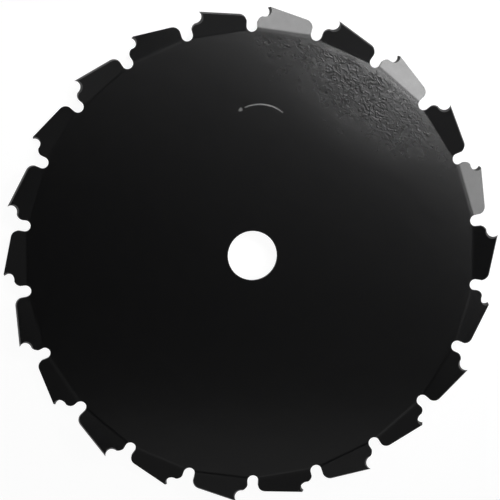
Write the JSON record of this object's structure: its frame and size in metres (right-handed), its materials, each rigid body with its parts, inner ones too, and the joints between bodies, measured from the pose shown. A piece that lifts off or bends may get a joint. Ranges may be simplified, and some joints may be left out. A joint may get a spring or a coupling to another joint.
{
  "type": "brush cutter blade",
  "caption": "Thin round clearing-saw blade with a plain arbor hole and round-filed chisel teeth, bent alternately to the front and to the back around the rim.",
  "frame": {"origin": "centre of the arbor hole at the middle of the sheet's thickness", "axes": "+Z out of the front face along the arbor hole, +X through the middle of a slot between two teeth; seen from the front the blade cuts turning counter-clockwise"},
  "size_m": [0.1995, 0.1995, 0.0084],
  "materials": {
    "lacquer": "semi-gloss black lacquer on steel sheet, over the filed seats too"
  },
  "bodies": {
    "root": {"blade": "lacquer"}
  },
  "joints": []
}
